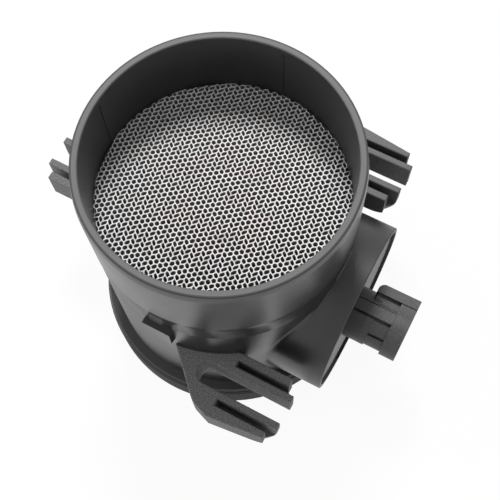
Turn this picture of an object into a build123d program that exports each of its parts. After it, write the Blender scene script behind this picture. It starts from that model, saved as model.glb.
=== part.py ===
from build123d import *
import os

# Flow tube. Z = 0 is the outlet face; air enters at the top and leaves at the bottom.
body_height = 117.0
mouth_r = 45.35
mouth_wall = 3.15
collar_length = 36.2
lower_wall_step = 0.1
joint_groove_depth = 0.9
joint_groove_rise = 5.6
joint_groove_fall = 5.4
rim_lead_in = 3.5
rim_draw_in = 0.55
rim_outer_round = 0.4
rim_inner_chamfer = 0.4
bore_shoulder = 1.9

# Outlet flange and the rubber ring that lies on it.
flange_overhang = 5.0
flange_thickness = 12.3
flange_chamfer = 0.6
seal_margin = 0.9
seal_height = 2.2
seal_chamfer = 0.5

# Honeycomb straightener, held between a shoulder and four narrow ribs in the mouth.
honeycomb_recess = 28.0
honeycomb_height = 16.0
honeycomb_fit = 0.1
honeycomb_pitch = 6.0
honeycomb_web = 0.9
honeycomb_border = 1.0
keeper_count = 4
keeper_width = 0.7
keeper_height = 0.25
keeper_root = 0.5
keeper_top_gap = 3.5

# Side cup for the electronics, along +X.
cup_drop = 39.1
cup_r = 34.2
cup_wall = 1.6
cup_stand = 8.8
cup_floor_cover = 1.1
cup_root_x = 20.0
cup_ledge_width = 2.3
cup_lip_depth = 3.6
cup_round = 0.4
cup_blend = 2.5

# Forked brackets: each is a pair of ribbed prongs with an open slot between.
fork_drop = 22.8
fork_depth = 13.0
fork_half_slot = 4.1
fork_slot_rib = 2.6
fork_groove = 2.5
fork_outer_rib = 2.9
fork_floor = 3.0
fork_rib_setback = 3.2
fork_edge_chamfer = 0.35
side_fork_overhang = 3.4
side_slot_land = 11.8
side_groove_land = 23.3
side_under_round = 5.0
side_rib_round = 9.0
front_fork_gap = 3.9
back_fork_gap = 2.3
rear_fork_overhang = 29.2
rear_fork_drop = 2.0
rear_groove_gap = 5.7
rear_under_round = 3.5

# Web that carries each side bracket from the tube wall.
arm_start_x = 5.0
arm_root = 6.0
arm_spread = 15.5
arm_shoulder = 7.0
arm_turn = 2.4
arm_corner_r = 7.0
arm_swell = 1.8
arm_taper = 0.6

# Flat pad on the tube wall beside each side bracket, with a sloped underside.
pad_width = 10.9
pad_lap = 0.7
pad_stand = 2.2
pad_height = 9.0
pad_slope = 4.5

# Module cover with the connector hood.
cover_thickness = 2.4
cover_gap = 1.2
cover_chamfer = 0.3
bead_height = 1.1
plug_offset_y = -1.6
plug_length = 20.4
neck_r = 10.3
neck_waist = 0.5
neck_step = 7.2
band_start = 14.1
band_r = 10.8
band_flat_top = 10.2
wing_start = 3.8
wing_inner_y = 5.9
wing_outer_y = 9.7
wing_overlap = 0.6
wing_top = 10.7
wing_drop = 8.0
wing_corner_r = 2.6
wing_web_drop = 1.4
key_rib_width = 4.4
key_rib_top = 11.1
key_groove_width = 0.8
key_groove_depth = 1.3
latch_inset = 0.3
latch_length = 6.6
latch_width = 1.3
latch_depth = 1.0
latch_angle = 53.0
socket_wall = 2.2
socket_depth = 16.0

# Connector blades.
blade_count = 5
blade_pitch = 2.8
blade_width = 0.8
blade_thickness = 1.6
blade_reach = 9.0

# Gasket, plate and board under the cover.
gasket_thickness = 0.6
gasket_width = 3.0
plate_thickness = 1.5
plate_corner_r = 6.0
plate_corner_gap = 3.1
screw_head_r = 2.3
screw_head_height = 1.2
screw_core_r = 1.2
screw_length = 5.0
screw_inset = 4.5
board_margin = 6.0
board_thickness = 0.8
board_corner_r = 1.5
chip_height = 0.8
chip_size = 6.0
chip_pitch = 9.0
chip_count = 3
capacitor_height = 0.7
capacitor_length = 2.4
capacitor_width = 1.3
capacitor_pitch = 4.5
capacitor_count = 5

# Probe that carries the sensing elements into the bore.
probe_length = 45.0
probe_width = 15.0
probe_height = 30.0
probe_nose_r = 5.0
probe_edge_r = 2.5
probe_wall_gap = 0.2
probe_neck_lap = 4.0
neck_width = 12.0
neck_height = 24.0
neck_fit = 0.2
channel_length = 17.0
channel_width = 8.0
channel_inset = 6.0
probe_seal_depth = 1.0
probe_seal_width = 1.6
probe_seal_inset = 1.0

# Sensing elements and their leads.
element_thickness = 0.6
element_height = 8.0
element_length = 9.0
element_socket = 2.0
bead_r = 1.1
bead_length = 3.0
bead_lead_r = 0.3
bead_lead_length = 3.0
bead_spacing = 9.0
lead_size = 0.5
lead_pitch = 2.0
lead_count = 4
lead_window = 1.5

# Derived sizes.
hex_row = 3 ** 0.5 / 2
diagonal = 2 ** 0.5
cut = 1.0
collar_r = mouth_r + mouth_wall
tube_r = collar_r - lower_wall_step
bore_r = mouth_r - bore_shoulder
flange_r = tube_r + flange_overhang
step_z = body_height - collar_length
groove_low_z = step_z - joint_groove_fall
honeycomb_top = body_height - honeycomb_recess
seat_z = honeycomb_top - honeycomb_height
cup_axis_z = step_z - cup_drop
cup_face_x = tube_r + cup_stand
cup_inner_r = cup_r - cup_wall
ledge_r = cup_inner_r - cup_ledge_width
ledge_x = cup_face_x - cup_lip_depth
floor_x = tube_r + cup_floor_cover
cover_r = cup_inner_r - cover_gap
cover_out_x = ledge_x + cover_thickness
plate_x = floor_x + gasket_thickness
plate_size = 2 * (plate_corner_r + (ledge_r - plate_corner_gap - plate_corner_r) / diagonal)
board_size = plate_size - 2 * board_margin
board_x = plate_x + plate_thickness
top_of_board_x = board_x + board_thickness
neck_step_x = cup_face_x + neck_step
band_start_x = cup_face_x + band_start
wing_start_x = cup_face_x + wing_start
plug_end_x = cup_face_x + plug_length
socket_r = neck_r - socket_wall
socket_floor_x = plug_end_x - socket_depth
blade_tip_x = socket_floor_x + blade_reach
fork_top_z = step_z - fork_drop
fork_bottom_z = fork_top_z - fork_depth
fork_groove_start = fork_half_slot + fork_slot_rib
fork_outer_start = fork_groove_start + fork_groove
fork_half_width = fork_outer_start + fork_outer_rib
side_reach = tube_r + side_fork_overhang
side_slot_x = arm_start_x + side_slot_land
side_groove_x = arm_start_x + side_groove_land
rear_reach = tube_r + rear_fork_overhang
rear_groove_x = tube_r + rear_groove_gap
probe_tip_x = bore_r - probe_length
channel_x = probe_tip_x + channel_inset
channel_end_x = channel_x + channel_length
probe_bottom_z = cup_axis_z - probe_height / 2
probe_seal_x = floor_x - probe_seal_inset - probe_seal_width


def disc_along_x(x, radius, length, y=0.0, z=cup_axis_z):
    """Round bar along X that starts at x."""
    return extrude(Plane.YZ.offset(x) * Pos(y, z) * Circle(radius), length)


def block(x0, x1, y0, y1, z0, z1):
    """Rectangular block between two opposite corners."""
    centre = Pos((x0 + x1) / 2, (y0 + y1) / 2, (z0 + z1) / 2)
    return centre * Box(x1 - x0, y1 - y0, z1 - z0)


def bar_along_x(x0, x1, width, height, y=0.0, z=cup_axis_z):
    """Rectangular bar along X, centred on y and z."""
    return block(x0, x1, y - width / 2, y + width / 2, z - height / 2, z + height / 2)


def tube_outside():
    """Outside of tube, collar and flange as one turned solid."""
    profile = Polyline(
        (0, 0),
        (flange_r, 0),
        (flange_r, flange_thickness - flange_chamfer),
        (flange_r - flange_chamfer, flange_thickness),
        (tube_r, flange_thickness),
        (tube_r, groove_low_z),
        (tube_r - joint_groove_depth, step_z),
        (collar_r, step_z + joint_groove_rise),
        (collar_r, body_height - rim_lead_in),
        (collar_r - rim_draw_in, body_height),
        (0, body_height),
        (0, 0),
    )
    solid = revolve(Plane.XZ * make_face(profile), Axis.Z)
    rim = solid.edges().filter_by(GeomType.CIRCLE).group_by(Axis.Z)[-1]
    return fillet(rim, rim_outer_round)


def flow_space():
    """Air space through the tube, wider in the mouth above the shoulder."""
    lower = Pos(0, 0, seat_z / 2) * Cylinder(bore_r, seat_z)
    height = body_height - seat_z
    upper = Pos(0, 0, seat_z + height / 2) * Cylinder(mouth_r, height)
    lip = Cone(mouth_r, mouth_r + rim_inner_chamfer, rim_inner_chamfer)
    return lower + upper + Pos(0, 0, body_height - rim_inner_chamfer / 2) * lip


def fork_cuts(slot_x, groove_x, reach, centre_y):
    """Slot between the prongs and the groove along the top of each prong."""
    round_x = slot_x + fork_half_slot
    far = reach + cut
    top = Plane.XY.offset(fork_top_z + cut)
    slot = Pos((round_x + far) / 2, centre_y) * Rectangle(far - round_x, 2 * fork_half_slot)
    slot = slot + Pos(round_x, centre_y) * Circle(fork_half_slot)
    cuts = extrude(top * slot, -(fork_depth + 2 * cut))
    depth = fork_depth - fork_floor
    for side in (-1, 1):
        y = centre_y + side * (fork_groove_start + fork_groove / 2)
        groove = Pos((groove_x + far) / 2, y) * Rectangle(far - groove_x, fork_groove)
        cuts = cuts + extrude(top * groove, -(depth + cut))
    return cuts


def fork_tip(reach, centre_y):
    """Plan of a bracket's last stretch: slot-side ribs in full, groove floors cut at a slant."""
    short = reach - fork_rib_setback
    outline = Polyline(
        (short, centre_y - fork_outer_start),
        (reach, centre_y - fork_groove_start),
        (reach, centre_y + fork_groove_start),
        (short, centre_y + fork_outer_start),
        close=True,
    )
    return make_face(outline)


def under_rounding(reach, radius, y0, y1):
    """Material taken off below a prong's tip, between two Y planes."""
    centre_x = reach - radius
    centre_z = fork_bottom_z + radius
    corner = Pos(centre_x + radius, centre_z - radius) * Rectangle(2 * radius, 2 * radius)
    corner = corner - Pos(centre_x, centre_z) * Circle(radius)
    return extrude(Plane.XZ.offset(-y1) * corner, y1 - y0)


def soften_top(solid):
    """Break the upper edges of a bracket."""
    return chamfer(solid.edges().group_by(Axis.Z)[-1], fork_edge_chamfer)


def arm_plan(sign, centre_y):
    """Plan of a side bracket: a web from the tube that spreads into the two prongs."""
    far_y = centre_y + sign * fork_half_width
    near_y = centre_y - sign * fork_half_width
    swell_y = far_y + sign * arm_swell
    short = side_reach - fork_rib_setback
    turn = (arm_start_x + arm_spread, swell_y - sign * arm_turn)
    outline = Polyline(
        (arm_start_x, sign * (tube_r - arm_root)),
        (arm_start_x, sign * tube_r),
        turn,
        (turn[0] + arm_shoulder, swell_y),
        (short, far_y - sign * arm_taper),
        (short, near_y),
        (turn[0], near_y),
        (arm_start_x, sign * (tube_r - arm_root)),
    )
    plan = make_face(outline)
    plan = fillet(plan.vertices().sort_by_distance(turn)[0], arm_corner_r)
    return plan + fork_tip(side_reach, centre_y)


def side_fork(sign, centre_y):
    """Bracket on the front (sign -1) or the back (sign 1) of the tube."""
    solid = extrude(Plane.XY.offset(fork_bottom_z) * arm_plan(sign, centre_y), fork_depth)
    solid = solid - fork_cuts(side_slot_x, side_groove_x, side_reach, centre_y)
    rib_y = centre_y - fork_outer_start
    lowest_y = rib_y - fork_outer_rib - arm_swell
    solid = solid - under_rounding(side_reach, side_under_round, rib_y, centre_y)
    solid = solid - under_rounding(side_reach, side_rib_round, lowest_y, rib_y)
    return soften_top(solid)


def rear_fork():
    """Bracket on the -X side, its prongs straight out from the tube wall."""
    root = bore_r - fork_half_slot
    short = rear_reach - fork_rib_setback
    plan = Pos((root + short) / 2, 0) * Rectangle(short - root, 2 * fork_half_width)
    plan = plan + fork_tip(rear_reach, 0)
    solid = extrude(Plane.XY.offset(fork_bottom_z) * plan, fork_depth)
    solid = solid - fork_cuts(bore_r, rear_groove_x, rear_reach, 0)
    solid = solid - under_rounding(rear_reach, rear_under_round, -fork_half_width, fork_half_width)
    return Pos(0, 0, -rear_fork_drop) * Rot(0, 0, 180) * soften_top(solid)


def pad(sign):
    """Flat pad on the tube wall beside a side bracket, cut off square above and sloped below."""
    outer_y = sign * (tube_r + pad_stand)
    inner_y = sign * (tube_r - arm_root)
    low_z = groove_low_z - pad_height
    outline = Polyline(
        (inner_y, groove_low_z),
        (outer_y, groove_low_z),
        (outer_y, low_z),
        (inner_y, low_z - pad_slope),
        close=True,
    )
    start = Plane.YZ.offset(arm_start_x + pad_lap - pad_width)
    return extrude(start * make_face(outline), pad_width)


def cup_outside():
    """Round cup body from the tube out to its face."""
    solid = disc_along_x(cup_root_x, cup_r, cup_face_x - cup_root_x)
    rim = solid.edges().filter_by(GeomType.CIRCLE).group_by(Axis.X)[-1]
    return fillet(rim, cup_round)


def body_shell():
    """Tube and cup joined, with a moulded blend where the cup meets the tube's plain wall."""
    tube = tube_outside()
    cup = cup_outside()
    joined = tube + cup
    low = flange_thickness + flange_chamfer
    meeting = new_edges(tube, cup, combined=joined)
    return fillet([e for e in meeting if low < e.center().Z < groove_low_z], cup_blend)


def cup_space():
    """Stepped recess for plate, board and cover."""
    wide = disc_along_x(ledge_x, cup_inner_r, cup_face_x - ledge_x + cut)
    deep = disc_along_x(floor_x, ledge_r, ledge_x - floor_x + cut)
    return wide + deep


def screw_points():
    """Four screw centres as (y, z) at the corners of the base plate."""
    half = plate_size / 2 - screw_inset
    return [(sy * half, cup_axis_z + sz * half) for sy in (-1, 1) for sz in (-1, 1)]


def screw_holes(x0, x1):
    """Bores for the four screws between two X planes."""
    return [disc_along_x(x0, screw_core_r, x1 - x0, y, z) for y, z in screw_points()]


def neck_sleeve(x0, x1):
    """Space round the probe's neck between two X planes."""
    return bar_along_x(x0, x1, neck_width + 2 * neck_fit, neck_height + 2 * neck_fit)


def keepers():
    """Narrow ribs down the mouth that stop on the honeycomb."""
    top = body_height - keeper_top_gap
    half = keeper_width / 2
    inner_r = mouth_r - keeper_height
    rib = block(inner_r, mouth_r + keeper_root, -half, half, honeycomb_top, top)
    return [Rot(0, 0, 360 * i / keeper_count) * rib for i in range(keeper_count)]


def housing():
    """The one-piece moulded body."""
    body = body_shell()
    body = body + side_fork(-1, -(tube_r + front_fork_gap))
    body = body + side_fork(1, tube_r + back_fork_gap)
    body = body + rear_fork()
    body = body + pad(-1) + pad(1)
    body = body - flow_space()
    body = body + keepers()
    body = body - cup_space()
    body = body - neck_sleeve(bore_r - bore_shoulder, floor_x + cut)
    return body - screw_holes(plate_x - screw_length, floor_x + cut)


def honeycomb():
    """Hexagonal straightener with its cells running along the flow."""
    outer_r = mouth_r - honeycomb_fit
    clear_r = outer_r - honeycomb_border
    cell = honeycomb_pitch - honeycomb_web
    rows = int(outer_r / (honeycomb_pitch * hex_row)) + 1
    spots = []
    for row in range(-rows, rows + 1):
        for col in range(-rows - 1, rows + 2):
            x = (col + 0.5 * (row % 2)) * honeycomb_pitch
            y = row * honeycomb_pitch * hex_row
            if (x * x + y * y) ** 0.5 < clear_r:
                spots.append((x, y))
    hexagon = RegularPolygon(cell / 2, 6, major_radius=False, rotation=30)
    field = Sketch() + [Pos(x, y) * hexagon for x, y in spots]
    face = Circle(outer_r) - (field & Circle(clear_r))
    return extrude(Plane.XY.offset(seat_z) * face, honeycomb_height)


def flange_seal():
    """Rubber ring lying on the flange, round the tube."""
    middle = Pos(0, 0, flange_thickness + seal_height / 2)
    ring = middle * Cylinder(flange_r - seal_margin, seal_height)
    ring = chamfer(ring.edges().filter_by(GeomType.CIRCLE).group_by(Axis.Z)[-1], seal_chamfer)
    return ring - body_shell()


def plug_body():
    """Round neck, waist and end band of the connector."""
    neck = disc_along_x(ledge_x, neck_r, neck_step_x - ledge_x, plug_offset_y)
    waist = disc_along_x(neck_step_x, neck_r - neck_waist, band_start_x - neck_step_x, plug_offset_y)
    band = disc_along_x(band_start_x, band_r, plug_end_x - band_start_x, plug_offset_y)
    side_y = wing_outer_y - wing_overlap
    top = cup_axis_z + band_flat_top
    shoulder = block(band_start_x, plug_end_x, plug_offset_y, side_y, cup_axis_z, top)
    return neck + waist + band + shoulder


def plug_wing():
    """Upright guide along one side of the connector, with the web that carries it."""
    centre = Pos((wing_start_x + plug_end_x) / 2, (wing_inner_y + wing_outer_y) / 2)
    plan = centre * Rectangle(plug_end_x - wing_start_x, wing_outer_y - wing_inner_y)
    corner = plan.vertices().sort_by_distance((wing_start_x, wing_outer_y))[0]
    plan = fillet(corner, wing_corner_r)
    top = cup_axis_z + wing_top
    wing = extrude(Plane.XY.offset(top - wing_drop) * plan, wing_drop)
    web_top = cup_axis_z + band_flat_top - wing_web_drop
    web_y = wing_inner_y + wing_overlap
    return wing + block(wing_start_x + wing_overlap, plug_end_x, 0, web_y, cup_axis_z, web_top)


def key_rib():
    """Polarising rib along the top of the neck."""
    z = cup_axis_z + key_rib_top / 2
    return bar_along_x(ledge_x, band_start_x, key_rib_width, key_rib_top, plug_offset_y, z)


def key_grooves():
    """Narrow grooves on both sides of the polarising rib."""
    low = cup_axis_z + neck_r - key_groove_depth
    grooves = []
    for side in (-1, 1):
        y = plug_offset_y + side * (key_rib_width + key_groove_width) / 2
        height = band_r - neck_r + key_groove_depth
        grooves.append(bar_along_x(cover_out_x, band_start_x, key_groove_width, height, y, low + height / 2))
    return grooves


def latch_slot():
    """Slot in the waist that the cable plug's latch drops into."""
    start = neck_step_x + latch_inset
    floor = neck_r - neck_waist - latch_depth
    half = latch_width / 2
    slot = block(start, start + latch_length, -half, half, floor, floor + latch_depth + cut)
    return Pos(0, plug_offset_y, cup_axis_z) * Rot(latch_angle, 0, 0) * slot


def blades():
    """Contact blades from the board out into the socket."""
    first_y = plug_offset_y - blade_pitch * (blade_count - 1) / 2
    bars = []
    for i in range(blade_count):
        y = first_y + i * blade_pitch
        bars.append(bar_along_x(top_of_board_x, blade_tip_x, blade_width, blade_thickness, y))
    return bars


def module_cover():
    """Cover disc and connector body in one moulding."""
    disc = disc_along_x(ledge_x, cover_r, cover_thickness)
    disc = chamfer(disc.edges().filter_by(GeomType.CIRCLE).group_by(Axis.X)[-1], cover_chamfer)
    plug = plug_body() - key_grooves() + key_rib() + plug_wing() - latch_slot()
    socket = disc_along_x(socket_floor_x, socket_r, socket_depth + cut, plug_offset_y)
    return disc + plug - socket - blades()


def sealing_bead():
    """Adhesive bead in the gap round the cover."""
    outer = disc_along_x(ledge_x, cup_inner_r, bead_height)
    return outer - disc_along_x(ledge_x - cut, cover_r, bead_height + 2 * cut)


def rounded_square(x, size, corner_r, thickness):
    """Rounded square plate across the cup axis that starts at x."""
    outline = Pos(0, cup_axis_z) * RectangleRounded(size, size, corner_r)
    return extrude(Plane.YZ.offset(x) * outline, thickness)


def base_gasket():
    """Thin frame under the base plate."""
    inner_size = plate_size - 2 * gasket_width
    frame = rounded_square(floor_x, plate_size, plate_corner_r, gasket_thickness)
    window = rounded_square(floor_x, inner_size, plate_corner_r - gasket_width, gasket_thickness)
    return frame - window - screw_holes(floor_x - cut, plate_x + cut)


def base_plate():
    """Aluminium carrier plate with screw holes and a window for the leads."""
    plate = rounded_square(plate_x, plate_size, plate_corner_r, plate_thickness)
    plate = plate - bar_along_x(plate_x - cut, board_x + cut, lead_window, neck_height)
    return plate - screw_holes(plate_x - cut, board_x + cut)


def base_screws():
    """Four plain screws through plate and gasket into the cup floor."""
    shank_x = plate_x - screw_length
    screws = []
    for y, z in screw_points():
        shank = disc_along_x(shank_x, screw_core_r, board_x - shank_x, y, z)
        screws.append(shank + disc_along_x(board_x, screw_head_r, screw_head_height, y, z))
    return screws


def circuit_board():
    """Hybrid board bonded on the base plate."""
    return rounded_square(board_x, board_size, board_corner_r, board_thickness)


def on_board(count, pitch, drop, height, width, length):
    """Row of equal blocks on the board, across Y, a drop below the blades."""
    parts = []
    for i in range(count):
        y = (i - (count - 1) / 2) * pitch
        end_x = top_of_board_x + height
        parts.append(bar_along_x(top_of_board_x, end_x, width, length, y, cup_axis_z - drop))
    return parts


def board_chips():
    """Row of chips below the blades."""
    return on_board(chip_count, chip_pitch, chip_pitch, chip_height, chip_size, chip_size)


def board_capacitors():
    """Row of small capacitors above the blades."""
    size = (capacitor_height, capacitor_width, capacitor_length)
    return on_board(capacitor_count, capacitor_pitch, -chip_pitch, *size)


def probe_seal_groove():
    """Space that the seal fills round the probe's neck."""
    end = probe_seal_x + probe_seal_width
    outer = neck_sleeve(probe_seal_x, end)
    core_width = neck_width - 2 * probe_seal_depth
    core_height = neck_height - 2 * probe_seal_depth
    return outer - bar_along_x(probe_seal_x - cut, end + cut, core_width, core_height)


def lead_heights():
    """Heights of the leads above the cup axis: the film's four, then the bead's one."""
    film = [(i - (lead_count - 1) / 2) * lead_pitch for i in range(lead_count)]
    return film + [bead_spacing]


def element_leads():
    """Square leads through the probe from the elements to the board."""
    leads = []
    for height in lead_heights():
        start = channel_end_x + (0 if height == bead_spacing else element_socket)
        leads.append(bar_along_x(start, board_x, lead_size, lead_size, 0, cup_axis_z + height))
    return leads


def probe_body():
    """Carrier with a rounded nose and a bypass channel along the flow."""
    back_x = bore_r
    blade = bar_along_x(probe_tip_x, back_x, probe_width, probe_height)
    blade = fillet(blade.edges().filter_by(Axis.Y).group_by(Axis.X)[0], probe_nose_r)
    crest = blade.faces().sort_by(Axis.Z)[-1].edges().filter_by(Axis.X)
    blade = fillet(crest, probe_edge_r)
    clear = Plane.XY.offset(probe_bottom_z - cut) * Circle(bore_r - probe_wall_gap)
    blade = blade & extrude(clear, probe_height + 2 * cut)
    neck = bar_along_x(back_x - probe_neck_lap, plate_x, neck_width, neck_height)
    channel = bar_along_x(channel_x, channel_end_x, channel_width, probe_height + 2 * cut)
    return blade + neck - channel - probe_seal_groove() - hot_film_element() - element_leads()


def hot_film_element():
    """Thin ceramic plate standing in the channel, its end held in the probe."""
    end = channel_end_x + element_socket
    return bar_along_x(end - element_length, end, element_thickness, element_height)


def air_temperature_element():
    """Small bead on a stiff lead from the channel wall."""
    z = cup_axis_z + bead_spacing
    tip_x = channel_end_x - bead_lead_length
    bead = disc_along_x(tip_x - bead_length, bead_r, bead_length, 0, z)
    bead = chamfer(bead.edges().filter_by(GeomType.CIRCLE), bead_lead_r)
    return bead + disc_along_x(tip_x, bead_lead_r, bead_lead_length, 0, z)


def save(shape, node):
    """Write one node; a list becomes a group of separate solids."""
    if isinstance(shape, list):
        shape = Compound(children=shape)
    export_step(shape, f"parts/{node}.step")


def main():
    """Build and write every piece."""
    os.makedirs("parts", exist_ok=True)
    save(housing(), "housing")
    save(honeycomb(), "flow_honeycomb")
    save(flange_seal(), "flange_seal")
    save(module_cover(), "module_cover")
    save(sealing_bead(), "sealing_bead")
    save(blades(), "connector_blades")
    save(base_gasket(), "base_gasket")
    save(base_plate(), "base_plate")
    save(base_screws(), "base_screws")
    save(circuit_board(), "circuit_board")
    save(board_chips(), "board_chips")
    save(board_capacitors(), "board_capacitors")
    save(probe_body(), "probe_body")
    save(probe_seal_groove(), "probe_seal")
    save(hot_film_element(), "hot_film_element")
    save(air_temperature_element(), "air_temperature_element")
    save(element_leads(), "element_leads")


main()
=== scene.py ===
import logging
import math
from dataclasses import dataclass, field
from enum import Enum
from typing import Dict, List, Sequence, Tuple, Union

import bmesh
import bpy
import numpy as np
from mathutils import Matrix, Vector


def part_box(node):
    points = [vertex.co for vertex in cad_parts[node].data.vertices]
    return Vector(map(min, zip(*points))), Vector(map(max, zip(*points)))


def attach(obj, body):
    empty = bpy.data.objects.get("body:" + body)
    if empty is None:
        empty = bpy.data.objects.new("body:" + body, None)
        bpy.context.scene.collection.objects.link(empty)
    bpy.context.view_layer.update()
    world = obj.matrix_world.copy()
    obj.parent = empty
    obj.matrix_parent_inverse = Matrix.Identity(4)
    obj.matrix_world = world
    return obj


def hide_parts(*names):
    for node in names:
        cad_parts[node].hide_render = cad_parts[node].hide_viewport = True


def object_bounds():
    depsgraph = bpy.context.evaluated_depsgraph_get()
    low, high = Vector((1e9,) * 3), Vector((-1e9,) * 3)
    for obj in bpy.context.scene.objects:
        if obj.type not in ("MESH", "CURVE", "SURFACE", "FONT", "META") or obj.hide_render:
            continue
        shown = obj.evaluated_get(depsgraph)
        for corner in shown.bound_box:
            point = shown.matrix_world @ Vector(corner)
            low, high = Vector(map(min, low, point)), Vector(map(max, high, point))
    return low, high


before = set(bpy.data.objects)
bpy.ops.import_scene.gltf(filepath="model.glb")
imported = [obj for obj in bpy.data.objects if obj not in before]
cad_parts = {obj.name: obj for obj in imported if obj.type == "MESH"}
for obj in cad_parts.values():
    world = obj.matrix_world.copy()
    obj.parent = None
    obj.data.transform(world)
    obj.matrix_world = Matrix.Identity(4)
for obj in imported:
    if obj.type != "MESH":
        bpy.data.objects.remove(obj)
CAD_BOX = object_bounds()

LOG = logging.getLogger("air_meter")
MM = 0.001
MERGE = 0.002 * MM
BODY = "root"
CELL_SIDES = 12
CREASE = math.radians(28.0)
FLAT = 0.99999
TINY = 1e-9
WHITE = (1.0, 1.0, 1.0, 1.0)
Point = Tuple[float, float, float]
Colour = Tuple[float, float, float]
SocketKey = Union[int, str]


# Shader maths.

class Signal:
    """A number that a node gives, with arithmetic that adds Math nodes."""

    def __init__(self, graph: "Graph", socket: bpy.types.NodeSocket) -> None:
        """Wraps an output socket.

        Args:
            graph: the graph that the socket belongs to.
            socket: the output socket that carries the number.
        """
        self.graph = graph
        self.socket = socket

    def _math(self, operation: str, *values: "Number") -> "Signal":
        """Adds one Math node.

        Args:
            operation: the Math node's operation.
            values: its inputs in order.

        Returns:
            The node's result.
        """
        inputs = {i: value for i, value in enumerate(values)}
        return self.graph.add("ShaderNodeMath", {"operation": operation}, inputs).signal(0)

    def __add__(self, other: "Number") -> "Signal":
        """Sum."""
        return self._math("ADD", self, other)

    def __radd__(self, other: "Number") -> "Signal":
        """Reflected sum."""
        return self._math("ADD", other, self)

    def __sub__(self, other: "Number") -> "Signal":
        """Difference."""
        return self._math("SUBTRACT", self, other)

    def __rsub__(self, other: "Number") -> "Signal":
        """Reflected difference."""
        return self._math("SUBTRACT", other, self)

    def __mul__(self, other: "Number") -> "Signal":
        """Product."""
        return self._math("MULTIPLY", self, other)

    def __rmul__(self, other: "Number") -> "Signal":
        """Reflected product."""
        return self._math("MULTIPLY", other, self)

    def __truediv__(self, other: "Number") -> "Signal":
        """Quotient."""
        return self._math("DIVIDE", self, other)

    def clamped(self) -> "Signal":
        """The number kept between 0 and 1."""
        return self._math("MINIMUM", self._math("MAXIMUM", self, 0.0), 1.0)

    def size(self) -> "Signal":
        """The number without its sign."""
        return self._math("ABSOLUTE", self)

    def root(self) -> "Signal":
        """Square root."""
        return self._math("SQRT", self)

    def at_least(self, other: "Number") -> "Signal":
        """The larger of two numbers."""
        return self._math("MAXIMUM", self, other)

    def past(self, edge: float, width: float) -> "Signal":
        """0 below an edge, rising to 1 over a width."""
        return ((self - edge) / width).clamped()


Number = Union[float, Signal]
Paint = Union[Colour, bpy.types.NodeSocket]


def distance_from_axis(x: Signal, y: Signal) -> Signal:
    """A point's distance from the tube's axis: the root of X squared plus Y squared."""
    return (x * x + y * y).root()


class NodeHandle:
    """One node of a graph, read by its outputs."""

    def __init__(self, graph: "Graph", node: bpy.types.Node) -> None:
        """Keeps the node with its graph.

        Args:
            graph: the graph that holds the node.
            node: the Blender node.
        """
        self.graph = graph
        self.node = node

    def signal(self, output: SocketKey) -> Signal:
        """A numeric output as a Signal."""
        return Signal(self.graph, self.node.outputs[output])

    def link(self, output: SocketKey) -> bpy.types.NodeSocket:
        """An output as a bare socket, for colours, vectors and shaders."""
        return self.node.outputs[output]


class Graph:
    """The nodes of one material or world."""

    def __init__(self, owner: Union[bpy.types.Material, bpy.types.World]) -> None:
        """Empties the owner's node tree.

        Args:
            owner: the material or world that the nodes belong to.
        """
        owner.use_nodes = True
        self.owner = owner
        self.tree = owner.node_tree
        self.tree.nodes.clear()

    def add(self, kind: str, settings: Dict[str, object], inputs: Dict[SocketKey, object]) -> NodeHandle:
        """Adds a node of any type.

        Args:
            kind: the node's Blender type.
            settings: attributes that are set before the sockets.
            inputs: values, Signals or sockets by input name or number.

        Returns:
            A handle on the new node.
        """
        node = self.tree.nodes.new(kind)
        for key, value in settings.items():
            setattr(node, key, value)
        for key, value in inputs.items():
            self._feed(node.inputs[key], value)
        return NodeHandle(self, node)

    def _feed(self, socket: bpy.types.NodeSocket, value: object) -> None:
        """Links or sets one input socket.

        Args:
            socket: the input socket.
            value: a Signal or an output socket to link, or else the value to set.
        """
        if isinstance(value, Signal):
            self.tree.links.new(value.socket, socket)
        elif isinstance(value, bpy.types.NodeSocket):
            self.tree.links.new(value, socket)
        else:
            socket.default_value = value

    def object_place(self) -> bpy.types.NodeSocket:
        """The point's place in the object's own metres."""
        return self.add("ShaderNodeTexCoord", {}, {}).link("Object")

    def axes(self) -> Tuple[Signal, Signal, Signal]:
        """The point's X, Y and Z in metres."""
        node = self.add("ShaderNodeSeparateXYZ", {}, {0: self.object_place()})
        return node.signal("X"), node.signal("Y"), node.signal("Z")

    def noise(self, size: float, detail: float = 2.0) -> Signal:
        """Cloudy noise from 0 to 1.

        Args:
            size: the width of one cloud in metres.
            detail: how many finer octaves are added.

        Returns:
            The noise value.
        """
        inputs = {"Vector": self.object_place(), "Scale": 1.0 / size, "Detail": detail}
        return self.add("ShaderNodeTexNoise", {}, inputs).signal("Fac")

    def blend(self, factor: Number, first: Paint, second: Paint) -> bpy.types.NodeSocket:
        """Mixes two colours.

        Args:
            factor: 0 gives the first colour and 1 the second.
            first: colour at 0, or the socket that carries it.
            second: colour at 1, or the socket that carries it.

        Returns:
            The mixed colour's socket.
        """
        settings = {"data_type": "RGBA", "blend_type": "MIX"}
        ends = [(*end, 1.0) if isinstance(end, tuple) else end for end in (first, second)]
        return self.add("ShaderNodeMix", settings, {0: factor, 6: ends[0], 7: ends[1]}).link(2)

    def bump(self, height: Signal, depth: float) -> bpy.types.NodeSocket:
        """A surface normal from a height that runs from 0 to 1 over a depth in metres."""
        inputs = {"Height": height, "Distance": depth, "Strength": 1.0}
        return self.add("ShaderNodeBump", {}, inputs).link("Normal")

    def surface(self, inputs: Dict[SocketKey, object]) -> bpy.types.Material:
        """Closes the material with one Principled shader.

        Args:
            inputs: the shader's sockets.

        Returns:
            The finished material.
        """
        shader = self.add("ShaderNodeBsdfPrincipled", {}, inputs).link("BSDF")
        self.add("ShaderNodeOutputMaterial", {}, {"Surface": shader})
        return self.owner


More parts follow.
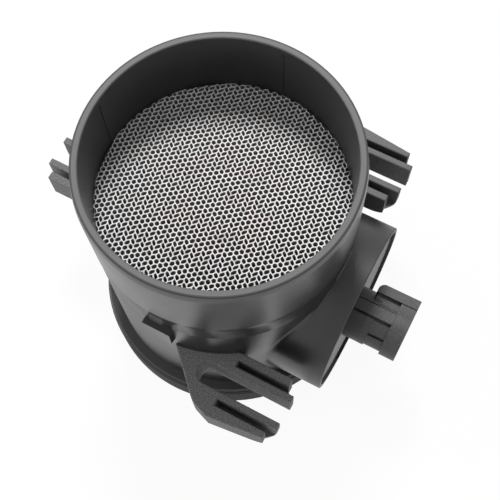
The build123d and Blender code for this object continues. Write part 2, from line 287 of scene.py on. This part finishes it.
# Finishes.

@dataclass(frozen=True)
class MouldedPlastic:
    """Black glass-filled moulding: satin tube, eroded brackets, dull flange edge, and a rim face painted
    paler as a painted highlight, with a painted dark line along its outer edge.

    A name ending in _r is a distance from an axis and one ending in _z, _top or _x a place on an
    axis. A border or fade is the width over which one zone passes into the next, and a share is
    how much of a finish a zone has.
    """

    name: str
    colour: Colour
    pale: Colour
    # eroded: pale speckled colour of the eroded brackets, also laid on the left tube wall as painted
    # light
    eroded: Colour
    # rim: paler colour painted on the rim face as a painted highlight
    rim: Colour
    tube_r: float
    cup_r: float
    flange_r: float
    flange_top: float
    wall_top: float
    rim_z: float
    plug_x: float
    arm_x: float
    bracket_top: float
    ior: float = 1.6
    specular: float = 0.42
    roughness: float = 0.32
    eroded_roughness: float = 0.75
    rim_roughness: float = 0.6
    flange_roughness: float = 0.9
    cup_dulling: float = 0.12
    unevenness: float = 0.12
    grain_size: float = 0.5 * MM
    grain_depth: float = 0.012 * MM
    grain_detail: float = 3.0
    cloud_size: float = 14 * MM
    cloud_share: float = 0.7
    spot_edge: float = 0.35
    spot_fade: float = 0.3
    least_speckle: float = 0.25
    plug_share: float = 0.35
    # share of pale eroded colour on the left tube wall: partly real erosion, partly painted light
    wall_erosion_and_painted_light_share: float = 0.4
    # share of the pale colour taken off the back bracket as painted shade, where the back light falls
    back_painted_shade: float = 0.5
    border: float = 0.4 * MM
    wide_border: float = 0.5 * MM
    flange_border: float = 0.3 * MM
    thin_border: float = 0.2 * MM
    rim_border: float = 0.1 * MM
    level: float = 1.0 * MM
    cup_gap: float = 1.3 * MM
    cup_fade: float = 4 * MM
    arm_fade: float = 20 * MM
    back_y: float = 20 * MM
    back_fade: float = 10 * MM
    rim_depth: float = 0.6 * MM
    # the rim face is painted paler inside this radius as a painted highlight; outside it the base colour
    # stays as a painted dark line along the rounded outer edge
    painted_rim_highlight_r: float = 47.15 * MM

    def erosion_and_painted_light_share(self, reach: Signal, x: Signal, y: Signal, z: Signal) -> Signal:
        """Where the tool's spark erosion shows, mixed with painted light and painted shade.

        The brackets have all of it, and the back one half of it, the missing half being painted shade
        where the back light falls. The plug has a part of it. The wall beyond the arms, on the left side
        of the tube below the collar, has a part too, which is partly real erosion and partly painted
        light.

        Args:
            reach: distance from the tube's axis.
            x: the point's X.
            y: the point's Y.
            z: the point's Z.

        Returns:
            0 on smooth plastic to 1 where the pale eroded colour is laid on in full.
        """
        skin = self.tube_r + self.border
        past_cup = y.size().past(self.cup_r + self.cup_gap, self.wide_border)
        sides = reach.past(skin, self.border) * past_cup
        rear = (0.0 - x).past(skin, self.border)
        below = 1.0 - z.past(self.bracket_top + self.level, self.level)
        # painted shade: the back bracket gets only half of the pale colour
        kept = 1.0 - y.past(self.back_y, self.back_fade) * self.back_painted_shade
        brackets = sides.at_least(rear) * below * kept
        plug = x.past(self.plug_x, self.level) * self.plug_share
        # painted light on the left tube wall below the collar, mixed with its real erosion
        beyond = 1.0 - x.past(self.arm_x - self.arm_fade, self.arm_fade)
        wall = beyond * (1.0 - z.past(self.wall_top - self.level, self.level)) * self.wall_erosion_and_painted_light_share
        return brackets.at_least(plug).at_least(wall) * z.past(self.flange_top + self.level, self.level)

    def edge_share(self, reach: Signal, z: Signal) -> Signal:
        """Where the flange's outer edge lies."""
        outside = reach.past(self.flange_r - self.wide_border, self.flange_border)
        return outside * (1.0 - z.past(self.flange_top - self.flange_border, self.thin_border))

    def material(self) -> bpy.types.Material:
        """Builds the finish's nodes.

        Returns:
            The Blender material.
        """
        graph = Graph(bpy.data.materials.new(self.name))
        x, y, z = graph.axes()
        reach = distance_from_axis(x, y)
        grain = graph.noise(self.grain_size, self.grain_detail)
        cloud = graph.noise(self.cloud_size)
        eroded = self.erosion_and_painted_light_share(reach, x, y, z)
        mottle = cloud * self.cloud_share + grain * (1.0 - self.cloud_share)
        colour = graph.blend(mottle.clamped(), self.colour, self.pale)
        spots = grain.past(self.spot_edge, self.spot_fade)
        speckle = self.least_speckle + spots * (1.0 - self.least_speckle)
        # the pale eroded colour: real erosion on the brackets, painted light on the left tube wall, less
        # of it on the back bracket as painted shade
        colour = graph.blend(eroded * speckle, colour, self.eroded)
        # painted highlight on the rim face, and a painted dark line outside its radius
        rim = z.past(self.rim_z - self.rim_depth, self.rim_border)
        inner = 1.0 - reach.past(self.painted_rim_highlight_r, self.thin_border)
        rough = self.roughness + (cloud - 0.5) * self.unevenness
        rough = rough + x.past(self.tube_r, self.cup_fade) * self.cup_dulling
        rough = rough + (self.eroded_roughness - rough) * eroded
        rough = rough + (self.flange_roughness - rough) * self.edge_share(reach, z)
        rough = rough + (self.rim_roughness - rough) * rim
        return graph.surface({
            "Base Color": graph.blend(rim * inner, colour, self.rim),
            "Roughness": rough.clamped(),
            "Normal": graph.bump(grain, self.grain_depth),
            "IOR": self.ior,
            "Specular IOR Level": self.specular,
        })


@dataclass(frozen=True)
class StraightenerFoil:
    """Foil with a bright, unevenly worn upper edge, warmer near the axis, and cell walls painted dark as
    painted shade down the cells.
    """

    name: str
    edge_z: float
    edge: Colour = (0.93, 0.925, 0.92)
    # wall: dark colour painted on the cell walls as painted shade down the cells
    wall: Colour = (0.075, 0.07, 0.068)
    warm: Colour = (0.93, 0.84, 0.82)
    worn: Colour = (0.42, 0.42, 0.425)
    band: float = 0.12 * MM
    warm_r: float = 14 * MM
    warm_fade: float = 22 * MM
    warm_cloud: float = 9 * MM
    warm_edge: float = 0.35
    warm_span: float = 0.3
    worn_cloud: float = 1.6 * MM
    worn_edge: float = 0.5
    worn_span: float = 0.2
    worn_share: float = 0.6
    roughness: float = 0.45

    def edge_colour(self, graph: Graph, reach: Signal) -> bpy.types.NodeSocket:
        """The cut edge's colour: warm clouds about the axis and small worn spots all over.

        Args:
            graph: the foil's graph.
            reach: distance from the tube's axis.

        Returns:
            The colour's socket.
        """
        near = 1.0 - reach.past(self.warm_r, self.warm_fade)
        warmth = near * graph.noise(self.warm_cloud).past(self.warm_edge, self.warm_span)
        wear = graph.noise(self.worn_cloud).past(self.worn_edge, self.worn_span) * self.worn_share
        return graph.blend(wear, graph.blend(warmth, self.edge, self.warm), self.worn)

    def material(self) -> bpy.types.Material:
        """Builds the finish's nodes.

        Returns:
            The Blender material.
        """
        graph = Graph(bpy.data.materials.new(self.name))
        x, y, z = graph.axes()
        top = z.past(self.edge_z - self.band, self.band)
        edge = self.edge_colour(graph, distance_from_axis(x, y))
        return graph.surface({
            # painted shade on the cell walls below the bright edge band
            "Base Color": graph.blend(top, self.wall, edge),
            "Roughness": self.roughness,
        })


@dataclass(frozen=True)
class PlainFinish:
    """One colour with a faint unevenness of gloss."""

    name: str
    colour: Colour
    roughness: float
    metallic: float = 0.0
    cloud_size: float = 4 * MM
    unevenness: float = 0.1

    def material(self) -> bpy.types.Material:
        """Builds the finish's nodes.

        Returns:
            The Blender material.
        """
        graph = Graph(bpy.data.materials.new(self.name))
        cloud = graph.noise(self.cloud_size)
        return graph.surface({
            "Base Color": (*self.colour, 1.0),
            "Metallic": self.metallic,
            "Roughness": (self.roughness + (cloud - 0.5) * self.unevenness).clamped(),
        })


class Material(Enum):
    """Named finishes of the small pieces."""

    RUBBER = PlainFinish("seal_rubber", (0.030, 0.030, 0.031), 0.55)
    ADHESIVE = PlainFinish("adhesive", (0.02, 0.02, 0.021), 0.45)
    BLADE = PlainFinish("blade_metal", (0.83, 0.80, 0.72), 0.3, 1.0)
    PLATE = PlainFinish("plate_metal", (0.80, 0.80, 0.81), 0.38, 1.0)
    STEEL = PlainFinish("screw_steel", (0.62, 0.61, 0.58), 0.35, 1.0)
    BOARD = PlainFinish("board_ceramic", (0.78, 0.79, 0.76), 0.4)
    CHIP = PlainFinish("chip_plastic", (0.02, 0.02, 0.02), 0.5)
    CAPACITOR = PlainFinish("capacitor_ceramic", (0.42, 0.30, 0.18), 0.5)
    ELEMENT = PlainFinish("element_ceramic", (0.80, 0.81, 0.82), 0.3)
    BEAD = PlainFinish("bead_glass", (0.10, 0.16, 0.09), 0.15)


# Meshes.

def new_piece(name: str, mesh: bpy.types.Mesh, material: bpy.types.Material) -> bpy.types.Object:
    """Puts a mesh into the scene as a piece of the meter.

    Args:
        name: the piece's name.
        mesh: its mesh, already in place.
        material: its only material.

    Returns:
        The new object.
    """
    mesh.materials.clear()
    mesh.materials.append(material)
    piece = bpy.data.objects.new(name, mesh)
    bpy.context.scene.collection.objects.link(piece)
    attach(piece, BODY)
    return piece


@dataclass(frozen=True)
class RoundBarrel:
    """Straight round faces about one axis, whose exact outward direction is known."""

    along: int
    centre: Point
    radii: Tuple[float, ...]
    slack: float = 0.02 * MM
    least_facing: float = 0.9
    most_tilt: float = 0.02

    def directions(self, points: np.ndarray, normals: np.ndarray) -> Tuple[np.ndarray, np.ndarray]:
        """Finds the corners that lie on these faces and their exact normals.

        A corner belongs when its distance from the axis is one of the radii and its face looks
        straight along that distance; its normal is then the distance's direction.

        Args:
            points: N x 3 corner places.
            normals: N x 3 normals of the corners' faces.

        Returns:
            A mask of N and N x 3 unit directions.
        """
        arm = points - np.array(self.centre)
        arm[:, self.along] = 0.0
        reach = np.linalg.norm(arm, axis=1)
        direction = arm / np.maximum(reach, TINY)[:, None]
        facing = (direction * normals).sum(axis=1)
        near = np.abs(reach[:, None] - np.array(self.radii)[None]).min(axis=1) < self.slack
        straight = np.abs(facing) > self.least_facing
        upright = np.abs(normals[:, self.along]) < self.most_tilt
        return near & upright & straight, direction * np.sign(facing)[:, None]


def set_exact_normals(mesh: bpy.types.Mesh, barrels: Sequence[RoundBarrel]) -> None:
    """Gives flat faces and straight round faces their true normals.

    Args:
        mesh: the mesh, already shaded smoothly.
        barrels: its round faces.
    """
    count = len(mesh.loops)
    blended = np.empty(count * 3, dtype=np.float32)
    mesh.corner_normals.foreach_get("vector", blended)
    exact = blended.reshape(-1, 3).astype(float)
    places = np.empty(len(mesh.vertices) * 3, dtype=np.float32)
    mesh.vertices.foreach_get("co", places)
    corner_vertex = np.empty(count, dtype=np.int32)
    mesh.loops.foreach_get("vertex_index", corner_vertex)
    points = places.reshape(-1, 3)[corner_vertex].astype(float)
    faces = np.empty(len(mesh.polygons) * 3, dtype=np.float32)
    mesh.polygons.foreach_get("normal", faces)
    sizes = np.empty(len(mesh.polygons), dtype=np.int32)
    mesh.polygons.foreach_get("loop_total", sizes)
    normals = np.repeat(faces.reshape(-1, 3), sizes, axis=0).astype(float)
    square = np.abs(normals).max(axis=1) > FLAT
    exact[square] = normals[square]
    for barrel in barrels:
        mask, direction = barrel.directions(points, normals)
        exact[mask] = direction[mask]
    mesh.normals_split_custom_set([tuple(normal) for normal in exact])


def merge_points(mesh: bpy.types.Mesh, distance: float) -> None:
    """Joins points that lie close together.

    Args:
        mesh: the mesh to join up.
        distance: how far apart two joined points may lie.
    """
    shell = bmesh.new()
    shell.from_mesh(mesh)
    bmesh.ops.remove_doubles(shell, verts=shell.verts, dist=distance)
    shell.to_mesh(mesh)
    shell.free()


def smooth_copy(node: str, name: str, barrels: Sequence[RoundBarrel]) -> bpy.types.Mesh:
    """Copies a construction node's mesh and shades its round faces smoothly.

    Args:
        node: the node to copy.
        name: the new mesh's name.
        barrels: the round faces that get exact normals.

    Returns:
        The merged copy.
    """
    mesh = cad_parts[node].data.copy()
    mesh.name = name
    merge_points(mesh, MERGE)
    mesh.shade_smooth()
    mesh.set_sharp_from_angle(angle=CREASE)
    set_exact_normals(mesh, barrels)
    return mesh


def mesh_from_arrays(name: str, points: np.ndarray, faces: np.ndarray) -> bpy.types.Mesh:
    """Builds a mesh from whole arrays.

    Args:
        name: the mesh's name.
        points: N x 3 places in metres.
        faces: M x 4 point numbers, counter-clockwise from outside.

    Returns:
        The mesh.
    """
    mesh = bpy.data.meshes.new(name)
    mesh.vertices.add(len(points))
    mesh.vertices.foreach_set("co", points.astype(np.float32).ravel())
    mesh.loops.add(faces.size)
    mesh.loops.foreach_set("vertex_index", faces.astype(np.int32).ravel())
    mesh.polygons.add(len(faces))
    mesh.polygons.foreach_set("loop_start", np.arange(0, faces.size, 4, dtype=np.int32))
    mesh.polygons.foreach_set("loop_total", np.full(len(faces), 4, dtype=np.int32))
    mesh.update(calc_edges=True)
    mesh.validate()
    return mesh


# Sub-assemblies.

@dataclass
class BodyMoulding:
    """The housing and the connector cover, both of the same black moulding."""

    finish: MouldedPlastic = MouldedPlastic(
        # the third colour is also laid on the left tube wall as painted light; the fourth, the rim's, is
        # a painted highlight
        "black_plastic", (0.018, 0.018, 0.019), (0.026, 0.026, 0.0275), (0.20, 0.20, 0.207),
        (0.11, 0.11, 0.113), tube_r=48.4 * MM, cup_r=34.2 * MM, flange_r=53.4 * MM, flange_top=12.3 * MM,
        wall_top=75.4 * MM, rim_z=117.0 * MM, plug_x=61.5 * MM, arm_x=5.0 * MM, bracket_top=58.0 * MM,
    )
    barrels: Tuple[RoundBarrel, ...] = (
        RoundBarrel(2, (0.0, 0.0, 0.0), (43.45 * MM, 45.35 * MM, 48.4 * MM, 48.5 * MM, 53.4 * MM)),
        RoundBarrel(0, (0.0, 0.0, 41.7 * MM), (30.3 * MM, 31.4 * MM, 32.6 * MM, 34.2 * MM)),
        RoundBarrel(0, (0.0, -1.6 * MM, 41.7 * MM), (8.1 * MM, 9.8 * MM, 10.3 * MM, 10.8 * MM)),
    )
    nodes: Tuple[str, ...] = ("housing", "module_cover", "probe_body")
    pieces: List[bpy.types.Object] = field(default_factory=list)

    def build(self) -> List[bpy.types.Object]:
        """Makes one smooth piece for each moulding.

        Returns:
            The new pieces.
        """
        material = self.finish.material()
        for node in self.nodes:
            name = f"{node}_moulding"
            piece = new_piece(name, smooth_copy(node, name, self.barrels), material)
            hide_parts(node)
            self.pieces.append(piece)
        return self.pieces


@dataclass
class FlowStraightener:
    """Honeycomb of crimped foil whose cells lean oval one way and then the other.

    The rounding and the two gaps are shares of the pitch.
    """

    pitch: float = 2.01 * MM
    turn: float = math.radians(37.7)
    web: float = 0.40 * MM
    rounding: float = 0.05
    squeeze: float = 0.17
    oval_turn: float = math.radians(48.0)
    wave: Tuple[float, float] = (-0.0716, 0.5326)
    wrap: float = 0.3 * MM
    wrap_drop: float = 0.4 * MM
    wrap_sides: int = 180
    spare: float = 1.3
    edge_gap: float = 0.1
    hole_gap: float = 0.02
    least_hole: float = 0.15
    joining: float = 0.004 * MM

    def centres(self, radius: float) -> np.ndarray:
        """Cell centres on a triangular lattice, kept inside a circle.

        The lattice is i times one step plus j times another at 60 degrees, turned as a whole.

        Args:
            radius: how far a centre may lie from the axis.

        Returns:
            N x 2 centres in metres.
        """
        count = int(radius / self.pitch * self.spare) + 2
        i, j = np.meshgrid(np.arange(-count, count + 1), np.arange(-count, count + 1))
        first = self.turn
        second = self.turn + math.pi / 3
        x = self.pitch * (i * math.cos(first) + j * math.cos(second))
        y = self.pitch * (i * math.sin(first) + j * math.sin(second))
        centres = np.stack([x.ravel(), y.ravel()], axis=1)
        return centres[np.hypot(centres[:, 0], centres[:, 1]) < radius]

    def stretch(self, centres: np.ndarray) -> np.ndarray:
        """How far each cell is drawn out along the oval's direction: a cosine wave over the foil.

        Args:
            centres: cell centres, with X and Y on the last axis.

        Returns:
            -1 to 1 for each cell: the wave's turns per millimetre times the centre.
        """
        turns = (centres @ np.array(self.wave)) / MM
        return np.cos(2 * math.pi * turns)

    def corners(self, centres: np.ndarray) -> np.ndarray:
        """The six moved corners of every cell.

        A corner is shared by three cells. Each of them pulls it along the oval's direction and
        pushes it across by its own stretch times its own arm to the corner, and the three add up.

        Args:
            centres: the cells' centres.

        Returns:
            N x 6 x 2 points.
        """
        cosine, sine = math.cos(2 * self.oval_turn), math.sin(2 * self.oval_turn)
        mirror = np.array([[cosine, sine], [sine, -cosine]])
        heading = self.turn + (np.arange(6) + 0.5) * math.pi / 3
        reach = self.pitch / math.sqrt(3)
        arm = reach * np.stack([np.cos(heading), np.sin(heading)], axis=1)
        corner = centres[:, None, :] + arm[None]
        pull = self.stretch(centres)[:, None, None] * (arm @ mirror)[None]
        for side in (-1, 1):
            toward = heading + side * math.pi / 6
            step = self.pitch * np.stack([np.cos(toward), np.sin(toward)], axis=1)
            neighbour = centres[:, None, :] + step[None]
            pull = pull + self.stretch(neighbour)[..., None] * ((corner - neighbour) @ mirror)
        return corner + self.squeeze * pull

    def rims(self, centres: np.ndarray) -> Tuple[np.ndarray, np.ndarray]:
        """Outer outline and inner hole of every cell as rings of twelve points.

        The outline runs through the corners and the middles of the sides. The hole is the same
        ring drawn in towards its middle by half the web, a little more at the corners.

        Args:
            centres: the cells' centres.

        Returns:
            Two arrays of N x 12 x 2 points.
        """
        corner = self.corners(centres)
        middle = 0.5 * (corner + np.roll(corner, -1, axis=1))
        outer = np.stack([corner, middle], axis=2).reshape(len(centres), 12, 2)
        heart = outer.mean(axis=1, keepdims=True)
        arm = outer - heart
        length = np.linalg.norm(arm, axis=2, keepdims=True)
        cut = np.tile([self.rounding * self.pitch, 0.0], 6)[None, :, None] + 0.5 * self.web
        return outer, heart + arm * np.maximum(self.least_hole, 1.0 - cut / length)

    def held_inside(self, points: np.ndarray, radius: float) -> np.ndarray:
        """Points beyond a circle drawn straight in to it."""
        distance = np.hypot(points[..., 0], points[..., 1])
        return points * np.minimum(1.0, radius / np.maximum(distance, TINY))[..., None]

    def net(self, radius: float, low: float, high: float) -> bpy.types.Mesh:
        """The whole net as one mesh.

        Each cell is a ring between its hexagon and its oval, closed above, below and down the
        oval's wall; neighbours share the hexagon's points after merging.

        Args:
            radius: outer radius of the foil.
            low: height of its lower face.
            high: height of its upper face.

        Returns:
            The net's mesh.
        """
        outer, inner = self.rims(self.centres(radius - self.edge_gap * self.pitch))
        outer = self.held_inside(outer, radius)
        inner = self.held_inside(inner, radius - self.hole_gap * self.pitch)
        cells = len(outer)
        rings = []
        for ring, height in ((outer, high), (inner, high), (inner, low), (outer, low)):
            rings.append(np.concatenate([ring, np.full((cells, CELL_SIDES, 1), height)], axis=2))
        points = np.stack(rings, axis=1).reshape(-1, 3)
        cell = np.arange(cells)[:, None, None] * 4 * CELL_SIDES
        ring = np.arange(3)[None, :, None] * CELL_SIDES
        side = np.arange(CELL_SIDES)[None, None, :]
        after = (side + 1) % CELL_SIDES
        faces = np.stack([
            cell + ring + side, cell + ring + after,
            cell + ring + CELL_SIDES + after, cell + ring + CELL_SIDES + side,
        ], axis=3).reshape(-1, 4)
        mesh = mesh_from_arrays("flow_straightener_net", points, faces)
        merge_points(mesh, self.joining)
        return mesh

    def wrapper(self, radius: float, low: float, high: float) -> bpy.types.Mesh:
        """Foil band round the net: a rectangle turned about the axis.

        Args:
            radius: outer radius of the band.
            low: height of its lower edge.
            high: height of its upper edge.

        Returns:
            The band's mesh.
        """
        profile = np.array([
            (radius, low), (radius, high), (radius - self.wrap, high), (radius - self.wrap, low),
        ])
        angle = np.arange(self.wrap_sides) * 2 * math.pi / self.wrap_sides
        x = profile[None, :, 0] * np.cos(angle)[:, None]
        y = profile[None, :, 0] * np.sin(angle)[:, None]
        z = np.broadcast_to(profile[None, :, 1], x.shape)
        points = np.stack([x, y, z], axis=2).reshape(-1, 3)
        turn = np.arange(self.wrap_sides)[:, None] * 4
        after = (turn + 4) % (4 * self.wrap_sides)
        corner = np.arange(4)[None, :]
        beside = (corner + 1) % 4
        faces = np.stack([
            turn + corner, after + corner, after + beside, turn + beside,
        ], axis=2).reshape(-1, 4)
        return mesh_from_arrays("flow_straightener_wrap", points, faces)

    def build(self) -> List[bpy.types.Object]:
        """Makes the net and its band where the construction node stands.

        Returns:
            The new pieces.
        """
        lowest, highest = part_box("flow_honeycomb")
        radius = 0.5 * (highest[0] - lowest[0])
        low, high = lowest[2], highest[2]
        material = StraightenerFoil("straightener_metal", high).material()
        net = new_piece("flow_straightener_net", self.net(radius, low, high), material)
        band = self.wrapper(radius, low, high - self.wrap_drop)
        wrap = new_piece("flow_straightener_wrap", band, material)
        for piece in (net, wrap):
            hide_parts("flow_honeycomb")
        return [net, wrap]


@dataclass
class SmallPieces:
    """Seals, electronics and sensing elements: the solids stay and take their finish."""

    finishes: Dict[str, Material] = field(default_factory=lambda: {
        "flange_seal": Material.RUBBER,
        "probe_seal": Material.RUBBER,
        "base_gasket": Material.RUBBER,
        "sealing_bead": Material.ADHESIVE,
        "connector_blades": Material.BLADE,
        "element_leads": Material.BLADE,
        "base_plate": Material.PLATE,
        "base_screws": Material.STEEL,
        "circuit_board": Material.BOARD,
        "board_chips": Material.CHIP,
        "board_capacitors": Material.CAPACITOR,
        "hot_film_element": Material.ELEMENT,
        "air_temperature_element": Material.BEAD,
    })

    def build(self) -> None:
        """Gives each node its finish."""
        made: Dict[Material, bpy.types.Material] = {}
        for node, finish in self.finishes.items():
            if finish not in made:
                made[finish] = finish.value.material()
            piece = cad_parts[node]
            for slot in piece.material_slots:
                slot.material = made[finish]


# Studio.

@dataclass(frozen=True)
class SoftBox:
    """A square soft light aimed at a point."""

    name: str
    place: Point
    target: Point
    size: float
    power: float

    def build(self) -> None:
        """Adds the light."""
        data = bpy.data.lights.new(self.name, "AREA")
        data.shape = "SQUARE"
        data.size = self.size
        data.energy = self.power
        lamp = bpy.data.objects.new(self.name, data)
        lamp.location = self.place
        aim = Vector(self.target) - Vector(self.place)
        lamp.rotation_euler = aim.to_track_quat("-Z", "Y").to_euler()
        bpy.context.scene.collection.objects.link(lamp)


@dataclass
class Studio:
    """White floor, soft lights and the camera."""

    camera_place: Point = (0.0761, -0.10956, 0.36441)
    camera_right: Point = (0.88288, 0.46904, -0.02282)
    camera_up: Point = (-0.42742, 0.82276, 0.37468)
    sensor: float = 36.0
    focal_pixels: float = 873.503
    frame_pixels: float = 500.0
    clip_start: float = 0.01
    floor_size: float = 6.0
    floor_gap: float = 0.1 * MM
    floor_white: float = 0.93
    sky: float = 0.43
    boxes: Tuple[SoftBox, ...] = (
        SoftBox("left_box", (-0.65, -0.3, 0.35), (0.0, 0.0, 0.05), 0.3, 2.0),
        SoftBox("back_box", (-0.257, 0.463, 0.937), (0.0, 0.0, 0.089), 0.25, 7.5),
    )

    def build(self) -> None:
        """Sets up the whole studio."""
        self.build_camera()
        self.build_floor()
        self.build_world()
        for box in self.boxes:
            box.build()
        bpy.context.scene.view_settings.view_transform = "Standard"

    def build_camera(self) -> None:
        """Adds the camera from its place and two of its axes."""
        data = bpy.data.cameras.new("camera")
        data.sensor_width = self.sensor
        data.lens = self.focal_pixels / self.frame_pixels * self.sensor
        data.clip_start = self.clip_start
        camera = bpy.data.objects.new("camera", data)
        right = Vector(self.camera_right).normalized()
        back = right.cross(Vector(self.camera_up)).normalized()
        up = back.cross(right)
        axes = Matrix((right, up, back)).transposed()
        camera.matrix_world = Matrix.Translation(self.camera_place) @ axes.to_4x4()
        bpy.context.scene.collection.objects.link(camera)
        bpy.context.scene.camera = camera

    def background_share(self, graph: Graph, by_eye: float) -> Signal:
        """How much of the plain white a ray gets.

        Args:
            graph: the graph of the floor or the sky.
            by_eye: the share for rays that come straight from the camera.

        Returns:
            That share by eye, all of it in gloss or through glass, and none in diffuse light.
        """
        path = graph.add("ShaderNodeLightPath", {}, {})
        mirrored = path.signal("Is Glossy Ray") + path.signal("Is Transmission Ray")
        return (path.signal("Is Camera Ray") * by_eye + mirrored).clamped()

    def build_floor(self) -> None:
        """Adds a wide white floor that keeps a faint shadow."""
        half = 0.5 * self.floor_size
        ground = CAD_BOX[0][2] - self.floor_gap
        signs = np.array([(-1, -1), (1, -1), (1, 1), (-1, 1)])
        corners = np.column_stack([signs * half, np.full(4, ground)])
        mesh = mesh_from_arrays("floor", corners, np.array([[0, 1, 2, 3]]))
        graph = Graph(bpy.data.materials.new("floor_white"))
        diffuse = graph.add("ShaderNodeBsdfDiffuse", {}, {"Color": WHITE}).link(0)
        glow = graph.add("ShaderNodeEmission", {}, {"Color": WHITE, "Strength": 1.0}).link(0)
        share = self.background_share(graph, self.floor_white)
        mixed = graph.add("ShaderNodeMixShader", {}, {0: share, 1: diffuse, 2: glow}).link(0)
        graph.add("ShaderNodeOutputMaterial", {}, {"Surface": mixed})
        mesh.materials.append(graph.owner)
        floor = bpy.data.objects.new("floor", mesh)
        bpy.context.scene.collection.objects.link(floor)

    def build_world(self) -> None:
        """Gives an even pale sky that the camera and glossy surfaces see as white."""
        graph = Graph(bpy.data.worlds.new("sky"))
        sky, white = (
            graph.add("ShaderNodeBackground", {}, {"Color": WHITE, "Strength": strength}).link(0)
            for strength in (self.sky, 1.0)
        )
        share = self.background_share(graph, 1.0)
        seen = graph.add("ShaderNodeMixShader", {}, {0: share, 1: sky, 2: white}).link(0)
        graph.add("ShaderNodeOutputWorld", {}, {"Surface": seen})
        bpy.context.scene.world = graph.owner


def main() -> None:
    """Builds every sub-assembly in order and reports its pieces."""
    logging.basicConfig(level=logging.INFO, format="%(name)s: %(message)s")
    for piece in BodyMoulding().build():
        LOG.info("%s: %d faces", piece.name, len(piece.data.polygons))
    for piece in FlowStraightener().build():
        LOG.info("%s: %d faces", piece.name, len(piece.data.polygons))
    SmallPieces().build()
    Studio().build()


if __name__ == "__main__":
    main()
